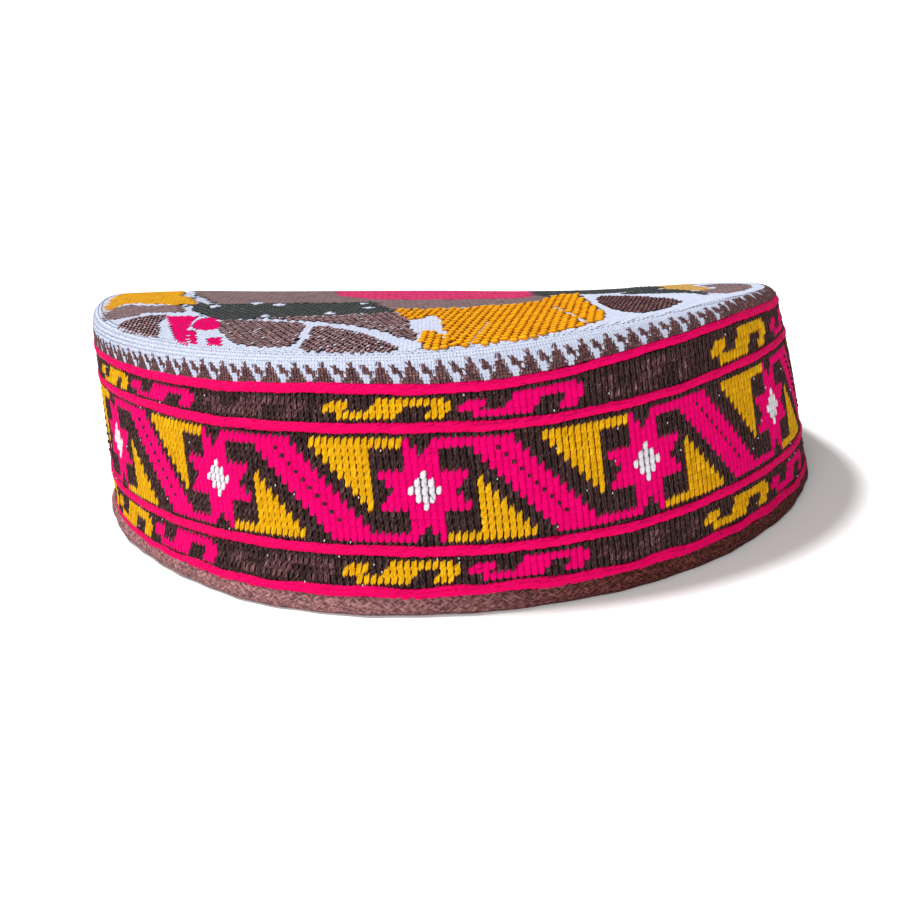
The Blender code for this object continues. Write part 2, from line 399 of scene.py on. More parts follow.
def braidPaint():
    # fine strands that lean both ways, like a worn knitted braid, with painted light on the left and painted
    # shade from the front round the right
    material, wires, shader = newPaint("bindingBraid", 0.9, 0.06)
    place = wires.node("ShaderNodeUVMap", {"uv_map": "cloth"})
    strands = []
    for lean in (braid["lean"], -braid["lean"]):
        turned = wires.node("ShaderNodeVectorRotate", {"rotation_type": "Z_AXIS"},
                            {"Vector": place, "Angle": lean})
        drawnOut = wires.vectors("MULTIPLY", turned, (0.3, 1.0, 1.0))
        strands.append(wires.noise(drawnOut, 1.0 / braid["hair"], 3.0, 0.6))
    weave = wires.maths("MAXIMUM", *strands)
    wornAndLit = wires.noise(place, 0.12, 2.0)
    aside = wires.part(place, "X")
    # painted shade: a mask that darkens the braid from the front round the right side
    shadedRight = wires.smooth(aside, *braid["shadeFrom"]) - wires.smooth(aside, *braid["shadeTo"])
    pairs = zip(braid["wornAndLit"], braid["shadedRight"])
    dark, light, hair = (wires.mix(shadedRight, colour(*old), colour(*new)) for old, new in pairs)
    base = wires.mix(wires.smooth(weave, 0.46, 0.62), dark, light)
    base = wires.mix(wires.smooth(weave, 0.60, 0.74) * 0.7, base, hair)
    joinPaint(wires, shader, wires.value(base, 0.75 + wornAndLit * 0.5), weave, braid["bump"])
    return material


paints = {name: threadPaint(name) for name in threads}
groundPaint = clothPaint("groundCloth", (46, 38, 36), (16, 13, 13), 0.55)
rimGroundPaint = clothPaint("rimGroundCloth", (222, 228, 247), (196, 203, 228), 0.45)
liningPaint = clothPaint("liningCotton", (232, 224, 208), (188, 178, 158), 0.5)
bindingPaint = braidPaint()
print("threads and cloths painted")


# Stitches: needle points with their directions go in, one plain mesh of thread comes out
stitchInputs = (
    ("Needle points", "NodeSocketGeometry", None), ("Thread", "NodeSocketMaterial", None),
    ("Sides", "NodeSocketInt", 6), ("Rings", "NodeSocketInt", 4), ("Seed", "NodeSocketInt", 1),
    ("Blunt ends", "NodeSocketFloat", 0.5), ("Size jitter", "NodeSocketFloat", 0.08),
    ("Turn jitter", "NodeSocketFloat", 0.1),
)


def oneStitch(wires, inputs):
    # a ball with blunted ends that lies along Y, with its own map and the height of its crest
    ball = wires.node("GeometryNodeMeshUVSphere", None,
                      {"Segments": inputs["Sides"], "Rings": inputs["Rings"], "Radius": 1.0}, "Mesh")
    ballMap = Link(wires, ball.socket.node.outputs["UV Map"])
    mapped = wires.store(ball, "FLOAT2", "CORNER", "strand", ballMap)
    spot = wires.node("GeometryNodeInputPosition")
    flat = wires.vectors("MULTIPLY", spot, (1.0, 1.0, 0.0))
    away = wires.node("ShaderNodeVectorMath", {"operation": "LENGTH"}, {0: flat}, 1)
    fuller = wires.maths("MAXIMUM", away, 0.01) ** (inputs["Blunt ends"] * -1.0)
    blunt = wires.vectors("MULTIPLY", spot, wires.join(fuller, fuller, 1.0))
    blunted = wires.node("GeometryNodeSetPosition", None, {"Geometry": mapped, "Position": blunt})
    lying = wires.node("GeometryNodeTransform", None,
                       {"Geometry": blunted, "Rotation": (-math.pi / 2, 0.0, 0.0)})
    height = wires.part(wires.node("GeometryNodeInputPosition"), "Z")
    crested = wires.store(lying, "FLOAT", "POINT", "crest", height)
    return wires.node("GeometryNodeSetShadeSmooth", None, {"Geometry": crested})


def stitchTree():
    tree = bpy.data.node_groups.new("sewStitches", "GeometryNodeTree")
    for label, kind, value in stitchInputs:
        made = tree.interface.new_socket(name=label, in_out="INPUT", socket_type=kind)
        if value is not None:
            made.default_value = value
    tree.interface.new_socket(name="Stitches", in_out="OUTPUT", socket_type="NodeSocketGeometry")
    wires = Wires(tree)
    given = tree.nodes.new("NodeGroupInput")
    inputs = {label: Link(wires, given.outputs[label]) for label, _, _ in stitchInputs}

    def attribute(label):
        return wires.node("GeometryNodeInputNamedAttribute", {"data_type": "FLOAT_VECTOR"}, {"Name": label})

    def jitter(strength, seedShift):
        # a vector at random, up to this strength each way
        free = wires.node("FunctionNodeRandomValue", {"data_type": "FLOAT_VECTOR"},
                          {0: (-1, -1, -1), 1: (1, 1, 1), "Seed": inputs["Seed"] + seedShift})
        return wires.vectors("SCALE", free, strength)

    along = wires.vectors("ADD", attribute("along"), jitter(inputs["Turn jitter"], 1))
    facing = wires.node("FunctionNodeAxesToRotation", {"primary_axis": "Z", "secondary_axis": "Y"},
                        {0: attribute("outward"), 1: along})
    swell = wires.vectors("ADD", jitter(inputs["Size jitter"], 2), (1.0, 1.0, 1.0))
    size = wires.vectors("MULTIPLY", attribute("size"), swell)
    placed = wires.node("GeometryNodeInstanceOnPoints", None,
                        {"Points": inputs["Needle points"], "Instance": oneStitch(wires, inputs),
                         "Rotation": facing, "Scale": size})
    shade = wires.node("FunctionNodeRandomValue", {"data_type": "FLOAT"}, {"Seed": inputs["Seed"] + 3}, 1)
    shaded = wires.store(placed, "FLOAT", "INSTANCE", "shade", shade)
    real = wires.node("GeometryNodeRealizeInstances", None, {"Geometry": shaded})
    finished = wires.node("GeometryNodeSetMaterial", None, {"Geometry": real, "Material": inputs["Thread"]})
    out = tree.nodes.new("NodeGroupOutput")
    tree.links.new(finished.socket, out.inputs["Stitches"])
    return tree


sewing = stitchTree()


def linkPiece(name, mesh):
    piece = bpy.data.objects.new(name, mesh)
    bpy.context.scene.collection.objects.link(piece)
    return piece


def runNodes(name, source, tree, values):
    # evaluates a node tree on a source mesh and keeps the result as a plain mesh
    holder = linkPiece(name + "Source", source)
    modifier = holder.modifiers.new("sewing", "NODES")
    modifier.node_group = tree
    for item in tree.interface.items_tree:
        if item.in_out == "INPUT" and item.name in values:
            modifier[item.identifier] = values[item.name]
    bpy.context.view_layer.update()
    graph = bpy.context.evaluated_depsgraph_get()
    mesh = bpy.data.meshes.new_from_object(holder.evaluated_get(graph), depsgraph=graph)
    holder.modifiers.remove(modifier)
    bpy.data.objects.remove(holder)
    mesh.name = name
    return linkPiece(name, mesh)


def standFor(piece, node):
    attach(piece, "root")
    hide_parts(node)


class Needle:
    # collects stitches in one thread
    def __init__(self):
        self.parts = []

    def add(self, places, outward, along, halves, picked=slice(None)):
        # a stitch may dip into the cloth, so its top face leans with it
        outward = unit(outward - along * np.sum(outward * along, -1, keepdims=True))
        size = np.broadcast_to(np.asarray(halves, float), places.shape)
        self.parts.append([values[picked] for values in (places, outward, along, size)])

    def sew(self, name, thread, node, seed, sizeJitter, turnJitter, sides=5, rings=3, blunt=0.5):
        places, outward, along, size = (np.concatenate(part) for part in zip(*self.parts))
        mesh = bpy.data.meshes.new(name + "Needles")
        mesh.from_pydata(toMetres(places).tolist(), [], [])
        for label, values in (("outward", outward), ("along", along), ("size", size * mm)):
            layer = mesh.attributes.new(label, "FLOAT_VECTOR", "POINT")
            layer.data.foreach_set("vector", np.ascontiguousarray(values, dtype=np.float32).ravel())
        values = {"Sides": sides, "Rings": rings, "Blunt ends": blunt, "Size jitter": sizeJitter,
                  "Turn jitter": turnJitter, "Seed": seed, "Thread": paints[thread]}
        piece = runNodes(name, mesh, sewing, values)
        standFor(piece, node)
        print(name, len(places), "stitches,", len(piece.data.polygons), "faces")


def halfSizes(wide, long, thick):
    # half width, half length and half thickness of every stitch
    return np.stack(np.broadcast_arrays(wide, long, thick), -1)


# Where the four pink stripes run, as shares of the wall at even angles from the back, as in roundValue
stripeShares = {
    "first": (0.865, 0.865, 0.865, 0.862, 0.855, 0.85, 0.855, 0.866,
              0.858, 0.876, 0.916, 0.93, 0.92, 0.89, 0.87, 0.865),
    "second": (0.715, 0.715, 0.715, 0.715, 0.714, 0.716, 0.722, 0.72,
               0.714, 0.7, 0.73, 0.757, 0.745, 0.73, 0.72, 0.715),
    "third": (0.25, 0.25, 0.25, 0.245, 0.238, 0.24, 0.246, 0.26,
              0.247, 0.239, 0.252, 0.24, 0.23, 0.24, 0.25, 0.25),
    "fourth": (0.09, 0.09, 0.09, 0.088, 0.08, 0.074, 0.075, 0.091,
               0.091, 0.087, 0.09, 0.07, 0.05, 0.07, 0.085, 0.09),
}
# How the stripes waver at the front: depth of the waves in each stripe, waves in a turn and their reach
sag = {"first": 0.011, "second": 0.007, "third": 0.002, "fourth": 0.0, "waves": 360 / 46, "reach": 0.5}
slim = {"loss": 0.35, "angle": -1.25, "reach": 0.45}  # how much narrower it is all sewn at the left end


def stripeShare(name, angle):
    wave = np.sin(angle * sag["waves"]) * np.exp(-(angle / sag["reach"]) ** 2)
    return roundValue(stripeShares[name], angle) - sag[name] * wave


def stripeHalf(angle):
    # half a stripe's width in millimetres
    return band["stripeHalf"] * slimLeft(angle)


def slimLeft(angle):
    return 1 - slim["loss"] * np.exp(-((angle - slim["angle"]) / slim["reach"]) ** 2)


# The side band in columns of stitches: a band of stars and slants between two rows of scroll letters
band = {
    "columns": 442, "gridShift": -0.26, "starColumns": 34, "firstStar": 24.58,
    "starRows": 13, "scrollRows": 3,
    "starShifts": {-3: 2, -2: 1},  # slants that stand aside, in columns, between two stars
    "stripeHalf": 1.0, "edgeRows": (0.95, 1.1, 1.05), "edgeLong": 0.7,
    "tilt": 0.19, "sink": 0.12, "converge": 0.05,
    # half width, half thickness, half length in rows and dip of a stitch in each thread
    "hand": {"pink": (0.90, 0.30, 0.92, -0.04), "yellow": (0.76, 0.42, 0.94, -0.08),
             "charcoal": (0.70, 0.42, 0.94, -0.10), "brown": (0.70, 0.46, 0.90, -0.12),
             "white": (0.68, 0.42, 0.72, -0.10)},
    # threads that lie in two thinner strands: how far each lies to its side, and its share of the size
    "double": ("charcoal", "brown", "yellow"), "apart": 0.22, "slip": 0.1, "thin": (0.58, 1.0, 0.85),
    "knot": (0.42, 0.48, 0.3), "knotLift": 0.2,
    "specks": 150, "speck": (0.17, 0.24, 0.14), "speckShift": (0.3, 0.5),
    # sides and rings of a stitch, where it isn't 5 and 3
    "facets": {"charcoal": (4, 3), "pink": (5, 4), "white": (6, 4)}, "blunt": 0.35,
}


def columnAngle(angle, share):
    # columns keep their width, so they lean together towards the narrower top
    swing = band["converge"] * (share - 0.5) * (1 - (angle / np.pi) ** 2)
    return angle * (1 + swing)


def starStitch(column, row, bandShift):
    # one stitch of the star band; column 0 is a star's middle, rows 1 to 13 go down
    for near in (column, column - band["starColumns"]):
        side = abs(near)
        if side + abs(row - 7) <= 2:
            return "white"
        if side <= 2:
            notch = {1: 1, 2: 0, 12: 0, 13: 1}.get(row, -1)
            return "charcoal" if side <= notch else "pink"
        if row in (5, 9) and side <= 6 or row in (6, 8) and side <= 5 or row == 7 and side <= 4:
            return "pink"
        if row == 1 and -7 <= near < 0 or row == 13 and 0 < near <= 7:
            return "yellow"
        if row == 1 and 0 < near <= 7 or row == 13 and -7 <= near < 0:
            return "pink"
        if side <= 7:
            return "charcoal"
        if 8 <= near <= 15 and row >= near - 2:
            return "yellow"
        if -16 <= near <= -8 and row <= near + 17:
            return "yellow"
    slant = column - bandShift - row
    if 6 <= slant <= 12:
        return "eyelet" if slant == 9 and 2 <= row <= 11 else "pink"
    if row == 1 and 7 < column < 13 or row == 13 and column - band["starColumns"] < -7 and slant > 12:
        return "pink"
    return "charcoal"


scroll = {
    # one letter in half rows, from the top
    "halfRows": ("........XXXXXXXXXX.", ".XXX....XXXXXXXXXXX", "XXXX...XXXXX....XXX", "XXX....XXXXX....XXX",
                 "..XXXXXXXXX....XXX.", "..XXXXXXXXX....XXX."),
    "threads": ("yellow", "pink", "brown"),
    # where each letter starts, in degrees; the rest are spread evenly round the back
    "upper": {"front": (-62.9, -49.2, -31.8, -14.2, 1.8, 18.6, 37.6, 55.6), "count": 21},
    "lower": {"front": (-64.4, -48.3, -30.3, -14.1, 0.9, 16.4, 32.6, 48.5), "count": 22},
    # columns that a narrow letter goes without, first to last
    "spare": (13, 5, 12, 6, 9),
}


def scrollLetters(which):
    # start angle and span of every letter
    front = list(scroll[which]["front"])
    left = scroll[which]["count"] - len(front)
    behind = np.linspace(front[-1], front[0] + 360, left + 2)[1:-1]
    starts = front + list(behind)
    return [(start, (after - start) % 360) for start, after in zip(starts, starts[1:] + starts[:1])]


def scrollColumn(across, thread):
    # the stitches of one column of a letter: thread, middle row and length in rows
    chart = scroll["halfRows"]
    marks = [0 <= across < len(chart[0]) and halfRow[across] == "X" for halfRow in chart]
    stitches = []
    start = 0
    for end in range(1, len(marks) + 1):
        if end < len(marks) and marks[end] == marks[start]:
            continue
        pieces = max(1, round((end - start) / 2))
        long = (end - start) / 2 / pieces
        name = thread if marks[start] else "charcoal"
        stitches += [(name, start / 2 + long * (piece + 0.5) + 0.5, long) for piece in range(pieces)]
        start = end
    return stitches


def starChart(spots):
    pitch = 360 / band["columns"]
    rows = band["starRows"]
    for column in range(band["columns"]):
        angle = (column + 0.5) * pitch - 180 + band["gridShift"]
        starTurns = (angle - band["firstStar"]) / pitch
        star = math.floor((starTurns + 0.5) / band["starColumns"])
        fromStar = round(starTurns - star * band["starColumns"])
        for row in range(1, rows + 1):
            name = starStitch(fromStar, row, band["starShifts"].get(star, 0))
            spots[name].append((angle, 1, row, 1))
        spots["charcoal"] += [(angle, 1, 0, 1), (angle, 1, rows + 1, 1)]


def scrollChart(spots, zone, which):
    pitch = 360 / band["columns"]
    full = len(scroll["halfRows"][0])
    for letter, (start, span) in enumerate(scrollLetters(which)):
        columns = round(span / pitch)
        dropped = scroll["spare"][:max(0, full + 1 - columns)]
        chartColumns = [across for across in range(full) if across not in dropped]
        for column in range(columns):
            angle = start + (column + 0.5) * span / columns
            across = chartColumns[column] if column < len(chartColumns) else -1
            for thread, row, long in scrollColumn(across, scroll["threads"][letter % 3]):
                spots[thread].append((angle, zone, row, long))
            spots["charcoal"] += [(angle, zone, 0, 1), (angle, zone, band["scrollRows"] + 1, 1)]


def bandChart():
    # every stitch of the wall, by thread: angle, zone from the top, row and length in rows
    spots = {name: [] for name in list(band["hand"]) + ["eyelet"]}
    starChart(spots)
    scrollChart(spots, 0, "upper")
    scrollChart(spots, 2, "lower")
    return {name: np.array(listed, float) for name, listed in spots.items()}


def bandPlaces(table, longShare):
    # where each charted stitch lies, as angle and share of the wall, and half its length
    angle = wrapped(np.radians(table[:, 0]))
    zone = table[:, 1].astype(int)
    row, long = table[:, 2], table[:, 3]
    runs = [stripeShare(name, angle) for name in stripeShares]
    tall = wallHeight(angle)
    tops = np.choose(zone, runs[:3]) - stripeHalf(angle) / tall
    feet = np.choose(zone, runs[1:]) + stripeHalf(angle) / tall
    rows = np.where(zone == 1, band["starRows"], band["scrollRows"])
    edgeRow = np.choose(zone, band["edgeRows"]) * slimLeft(angle)
    edge = edgeRow / tall
    rowShare = (tops - feet - 2 * edge) / rows
    share = tops - edge - (row - 0.5) * rowShare
    share = np.where(row == 0, tops - edge / 2, share)
    share = np.where(row == rows + 1, feet + edge / 2, share)
    isEdge = (row == 0) | (row == rows + 1)
    return angle, share, np.where(isEdge, edgeRow * band["edgeLong"], rowShare * tall * longShare * long)


def sewBand():
    needles = {name: Needle() for name in band["hand"]}
    for name, table in bandChart().items():
        wide, thick, longShare, dip = band["hand"]["pink" if name == "eyelet" else name]
        angle, share, halfLong = bandPlaces(table, longShare)
        place, across, up, outward = framesOn(wallPoint, columnAngle(angle, share), share)
        along = unit(up + across * band["tilt"] + outward * dip)
        halves = halfSizes(wide, halfLong, thick)
        if name == "eyelet":
            # a small dark knot on the pink
            needles["pink"].add(place - outward * band["sink"], outward, along, halves)
            needles["charcoal"].add(place + outward * band["knotLift"], outward, along, band["knot"])
        elif name in band["double"]:
            for side in (-1, 1):
                aside = (across * band["apart"] + along * band["slip"]) * side
                spot = place + aside - outward * band["sink"]
                needles[name].add(spot, outward, along, halves * band["thin"])
        else:
            needles[name].add(place - outward * band["sink"], outward, along, halves)
        if name == "charcoal":
            # bits of the white base that peep through
            lift, shift = band["speckShift"]
            picked = np.random.default_rng(5).choice(len(place), band["specks"], replace=False)
            peep = place + outward * lift + across * shift
            needles["white"].add(peep, outward, along, band["speck"], picked)
    for seed, (name, needle) in enumerate(needles.items()):
        rough = 0.16 if name in ("charcoal", "brown") else 0.08
        sides, rings = band["facets"].get(name, (5, 3))
        needle.sew("bandStitches_" + name, name, "side_band", 10 + seed, rough, rough,
                   sides, rings, band["blunt"])


sewBand()


# Four pink stripes: satin strands laid nearly along the stripe, in three lanes
stripe = {"spacing": 1.2, "lanes": (-0.46, 0.0, 0.46), "slant": 0.2, "dip": -0.03,
          "halves": (0.43, 2.2, 0.42), "wander": (0.14, 0.14, 0.14, 0.4),
          "widen": (1.0, 1.0, 1.0, 1.3), "middleLift": 0.12}


def sewStripes():
    needle = Needle()
    count = int(turn * cap["midRadius"] / stripe["spacing"])
    steps = np.arange(count) / count * turn - np.pi
    for number, stripeName in enumerate(stripeShares):
        for lane, offset in enumerate(stripe["lanes"]):
            angle = wrapped(steps + (lane / 3 + number * 0.17) * turn / count)
            ripple = (np.sin(angle * 17 + number * 2.1) + np.sin(angle * 41 + number)
                      + np.sin(angle * 29 + lane) * 0.4)
            aside = offset * stripe["widen"][number] + ripple * stripe["wander"][number] / 2
            share = stripeShare(stripeName, angle) + aside * slimLeft(angle) / wallHeight(angle)
            place, across, up, outward = framesOn(wallPoint, angle, share)
            along = unit(across + up * stripe["slant"] + outward * stripe["dip"])
            lift = stripe["middleLift"] if lane == 1 else 0.0
            needle.add(place + outward * lift, outward, along, stripe["halves"])
    needle.sew("pinkStripes", "stripePink", "side_band", 31, 0.14, 0.06)


sewStripes()


# Plain back seam, sewn over and over
seam = {"stitches": 34, "from": 0.05, "to": 0.9, "halves": (0.34, 1.5, 0.3),
        "slant": 0.45, "dip": 0.05, "lift": 0.2}
# Loose fibres that stand off the stripes and the dark ground
hairs = {"stripePink": 420, "charcoal": 260, "halves": (0.045, 0.9, 0.045), "lift": 0.4}


def sewSeam():
    needle = Needle()
    share = np.linspace(seam["from"], seam["to"], seam["stitches"])
    place, across, up, outward = framesOn(wallPoint, np.full_like(share, np.pi), share)
    along = unit(across + up * seam["slant"] - outward * seam["dip"])
    needle.add(place + outward * seam["lift"], outward, along, seam["halves"])
    needle.sew("backSeam", "charcoal", "side_band", 35, 0.1, 0.08, rings=4)


def sewHairs():
    chance = np.random.default_rng(21)
    for seed, thread in enumerate(("stripePink", "charcoal")):
        count = hairs[thread]
        needle = Needle()
        angle = chance.uniform(-np.pi, np.pi, count)
        share = chance.uniform(0.1, 0.9, count)
        if thread == "stripePink":
            picked = chance.integers(0, 4, count)
            share = np.choose(picked, [stripeShare(name, angle) for name in stripeShares])
            share = share + chance.choice((-1, 1), count) * band["stripeHalf"] / wallHeight(angle)
        place, across, up, outward = framesOn(wallPoint, angle, share)
        lean = chance.normal(0, 0.7, (3, count, 1))
        along = unit(across * lean[0] + up * lean[1] + outward * np.abs(lean[2]) * 0.3 + across * 0.3)
        needle.add(place + outward * hairs["lift"], outward, along, hairs["halves"])
        needle.sew("looseFibres_" + thread, thread, "side_band", 36 + seed, 0.4, 0.3, sides=3)


sewSeam()
sewHairs()


# Rim border: brown trees on white, under fine white ribs, with dark specks between them as painted shade in
# the needle's holes
border = {
    "motifs": 102, "shift": 4.6, "ribRows": 4, "ribTop": 1.035, "sink": 0.04, "treeSink": 0.02,
    "slant": -0.42, "dip": 0.08, "ribSlant": 0.2, "ribLeast": 0.15,
    "rows": ("...tX....", "....X..tX", "X..XXX..X", "XXtXXXt.X", ".X.XXXX..", ".tXXXXXt.", ".XXXXXXX."),
    "rightRows": ("XX...XXXX", "XX...XXXX", "XXX..XXXX", "XXXX.XXXX") + ("XXXXXXXXX",) * 3,
    "rightEnd": (44.0, 128.0),  # degrees, where the right end's own chart is sewn
    # how much of the border the trees take, at even angles from the back
    "treeShare": (0.5, 0.5, 0.5, 0.48, 0.42, 0.42, 0.46, 0.53,
                  0.57, 0.6, 0.74, 0.92, 0.92, 0.76, 0.58, 0.5),
    # half width, half length in rows and half thickness
    "ground": (0.5, 0.9, 0.12), "tree": (0.36, 0.8, 0.3), "rib": (0.5, 1.1, 0.1),
    # share of a tree stitch's size at each mark, and how far it leans to either side
    "marks": {"X": ((1, 1, 1), 0.2), "t": ((0.5, 1.1, 0.7), 0.5)},
    "hole": (0.12, 0.2, 0.07), "holeLift": 0.05, "holeDrops": (0.55, 1.35),
}


def treeMarks(angle, row):
    # the chart's marks along one row
    charted = np.floor(np.arange(len(angle)) - border["shift"]).astype(int) % len(border["rows"][row])
    plain, right = (np.array(list(border[chart][row]))[charted] for chart in ("rows", "rightRows"))
    start, end = np.radians(border["rightEnd"])
    return np.where((angle > start) & (angle < end), right, plain)


def sewTrees(trees, ground, angle, foot, treeTop):
    count = len(border["rows"])
    rowLong = (treeTop - foot) * cap["shareLength"] / count
    sizes = {}
    for name in ("ground", "tree"):
        wide, long, thick = border[name]
        sizes[name] = halfSizes(wide, rowLong * long, thick)
    for row in range(count):
        marks = treeMarks(angle, row)
        rise = foot + (treeTop - foot) * (count - row - 0.5) / count
        place, across, up, outward = framesOn(rimPoint, angle, rise)
        along = unit(up + across * border["slant"] - outward * border["dip"])
        ground.add(place - outward * border["sink"], outward, along, sizes["ground"], marks != "X")
        # the brown stitches lean now left and now right; each t is a thin whisker
        swing = (-1) ** (np.arange(len(angle)) + row)
        for mark, (share, lean) in border["marks"].items():
            way = unit(along + across * (lean * swing)[:, None])
            trees.add(place - outward * border["treeSink"], outward, way,
                      sizes["tree"] * share, marks == mark)


def sewRibs(ground, holeShade, angle, treeTop):
    ribRow = (border["ribTop"] - treeTop) / border["ribRows"]
    wide, long, thick = border["rib"]
    halves = halfSizes(wide, np.maximum(ribRow * cap["shareLength"], border["ribLeast"]) * long, thick)
    for row in range(border["ribRows"]):
        place, across, up, outward = framesOn(rimPoint, angle, treeTop + ribRow * (row + 0.5))
        ground.add(place - outward * border["sink"], outward, unit(up - across * border["ribSlant"]), halves)
    # dark specks in the needle's holes between the ribs: painted shade
    for every, drop in enumerate(border["holeDrops"]):
        place, across, up, outward = framesOn(rimPoint, angle, border["ribTop"] - ribRow * drop)
        holeShade.add(place + outward * border["holeLift"], outward, up, border["hole"], slice(every, None, 2))


def sewBorder():
    trees, ground, holeShade = Needle(), Needle(), Needle()
    columns = border["motifs"] * len(border["rows"][0])
    angle = (np.arange(columns) + 0.5) / columns * turn - np.pi
    foot = stripeShare("first", angle) + stripeHalf(angle) / wallHeight(angle)
    treeTop = foot + (border["ribTop"] - foot) * roundValue(border["treeShare"], angle)
    sewTrees(trees, ground, angle, foot, treeTop)
    sewRibs(ground, holeShade, angle, treeTop)
    trees.sew("rimTrees", "treeBrown", "rim_border", 41, 0.25, 0.3)
    ground.sew("rimGround", "rimWhite", "rim_border", 42, 0.1, 0.06)
    holeShade.sew("rimHoleShade", "charcoal", "rim_border", 43, 0.4, 0.1, sides=4)


sewBorder()


# Crown motifs in plan, in millimetres
def filled(thread, grain, gap, points, kind="round"):
    # a closed outline through a few points, filled with rows that run along the grain, a gap apart
    return {"thread": thread, "grain": grain, "gap": gap, "points": points, "kind": kind}


def whites(wide, points, kind="line"):
    # a white line through a few points, or a white spot at each
    return {"wide": wide, "points": points, "kind": kind}


crownMotifs = [
    filled("pink", 92, 0.7, [
        (-64.5, -36.8), (-60.6, -37.2), (-56.7, -38.5), (-56.5, -45.1), (-56.1, -50.9), (-54.1, -59.9),
        (-51.9, -68.8), (-54.2, -67.2), (-57.6, -58.1), (-61.1, -47.6)], "sharp"),
    filled("pink", 92, 0.7, [
        (-55.3, -54.6), (-53.6, -55.5), (-51.8, -61.5), (-49.8, -69.9), (-51.4, -69.1),
        (-53.6, -60.5)], "sharp"),
    filled("pink", 92, 0.7, [
        (-55.3, -50.5), (-55.9, -44), (-55, -40.7), (-52.9, -40.8), (-50.5, -45.6), (-48.9, -51.2),
        (-49.2, -55), (-51.5, -55.4), (-53.6, -54)]),
    filled("pink", 92, 0.7, [
        (-48.8, -64.4), (-45.9, -64.6), (-43.9, -73.1), (-47.2, -71.3)], "sharp"),
    whites(4.2, [(-71.5, 14), (-67.3, -4.7), (-63.7, -10.7), (-58.5, -20)]),
    whites(3, [(-64.2, -22.4), (-60.2, -30.9), (-55.4, -38.2), (-51, -45)]),
    whites(2, [
        (-39, -45.3), (-31.5, -49.3), (-24, -53.6), (-16.5, -61.8), (-10.9, -70.5), (-7.8, -80.5),
        (-5.9, -87)]),
    whites(2, [(-28.2, -54), (-28.4, -66), (-28.2, -80)]),
    whites(2.2, [(37.3, -16), (36.6, -40.5), (36, -58), (34.5, -72)]),
    whites(1.4, [(41, -20.5), (47.3, -24.3), (52.3, -34.3), (54.8, -46.8), (54.1, -53)]),
    whites(1.6, [(-75, -40), (-70.3, -33.2), (-64, -33), (-60.5, -36)]),
    whites(0.8, [(10.2, -60), (8.9, -67.2), (6.7, -76.7), (5.2, -86)]),
    whites(0.8, [(27, -44), (28.5, -58), (29.1, -75)]),
    whites(2.2, [
        (-56, -25), (-46, -21.5), (-40, -24), (-19, -24), (-17, -31), (-41, -40.5), (-26, -38.5)], "spots"),
    filled("gold", 79, 1.75, [
        (-10, -35), (-2, -35.6), (8, -34.9), (20, -30.7), (26.5, -25), (30, -14.3), (37, -13), (36.4, -38),
        (35, -63), (31.5, -75), (29, -76), (26, -80.5), (9.8, -87.2), (5, -88.5), (1.6, -80), (0, -52),
        (-2, -47), (-5, -50.8), (-8.4, -46)]),
    filled("gold", 86, 1.6, [
        (-3.8, -92), (-4, -80), (-3.4, -68), (-1.4, -69), (1.6, -79), (3.6, -90.5)]),
    filled("amber", 10, 1.2, [
        (-88, 6), (-86, 20), (-76, 22), (-71.5, 12), (-66, -8), (-61.3, -21.8), (-72, -20), (-80, -18),
        (-82, -27), (-85, -17)]),
    filled("rose", 2, 1.5, [
        (-27, 20), (-27, -3), (-24, -12), (-15, -17.2), (-2, -18.8), (11, -19), (23.5, -17), (25, -3),
        (25, 20)]),
    filled("dust", 2, 1.2, [
        (-69, 20), (-66, -3), (-60, -20.6), (-40, -21), (-17, -20.5), (-22, -3), (-22, 20)]),
    filled("dust", 3, 1.2, [
        (-16, -16), (0, -15), (26, -13), (27, -25), (20, -30.5), (8, -34.5), (-2, -35.2), (-11, -34.5)]),
    filled("bottleGreen", 90, 1.2, [
        (24.5, 20), (24.5, -17), (31, -13), (37, -12.4), (48, -13), (60, -9), (62, 4), (60, 20)]),
    filled("bottleGreen", 85, 1.2, [
        (-62.7, -20.8), (-40, -20.2), (-16.5, -19.8), (-12.1, -29.3), (-10.5, -38), (-19, -41.1),
        (-36, -42.6), (-51.5, -43), (-57.8, -34.3)]),
    filled("mauve", 70, 1, [
        (-50.9, -44), (-38, -43.4), (-24, -42.2), (-8.5, -40), (-7, -50), (-6.5, -60), (-4.6, -76),
        (-8.5, -72), (-14, -62), (-24, -52.3), (-39, -44.8)]),
    filled("mauve", 76, 1, [
        (-50.3, -45), (-40.3, -46.8), (-30, -52.5), (-29.4, -64), (-29.4, -76.5), (-38, -75), (-45, -64)]),
    filled("mauve", 78, 1, [
        (-27.1, -55.5), (-19, -62.5), (-12.8, -72.5), (-8.4, -87), (-19, -84.8), (-27, -80), (-27.1, -68)]),
    filled("treeBrown", 74, 1, [
        (41.6, -21.8), (47.3, -26.8), (51.6, -38), (53.5, -50.5), (51, -60.5), (45, -67.5), (41, -68),
        (38.3, -58), (37.9, -44.3), (38.9, -30.5)]),
    filled("bottleGreen", 80, 1.2, [
        (47.9, -15.5), (58.5, -11), (62.3, -25.5), (62.9, -40.5), (61, -46.8), (60, -36), (56, -28),
        (49.8, -21.8)]),
    filled("straw", 80, 1.4, [
        (61, 4), (60, -9), (62, -24), (64.8, -31), (68.5, -24.3), (68.5, -8), (74, 6), (70, 18), (63, 18)]),
    filled("dust", 75, 1.2, [
        (63, -33), (69.5, -26), (69.6, -12), (77.3, -8), (79.5, -22), (73.5, -39), (66.5, -48), (63.8, -44)]),
    filled("mauve", 100, 0.85, [
        (-73.4, -47.5), (-73.5, -40.5), (-71, -35.8), (-67.5, -34.8), (-65, -36), (-64.4, -43.5),
        (-62.5, -51.6), (-60.4, -60.9), (-65, -59), (-70, -55)]),
    filled("dust", 20, 1.2, [
        (-81.5, -28), (-79, -20), (-72, -22.4), (-62, -23), (-59.6, -31), (-64, -32.2), (-70, -31.5),
        (-75.3, -37.5), (-79.8, -37)]),
]
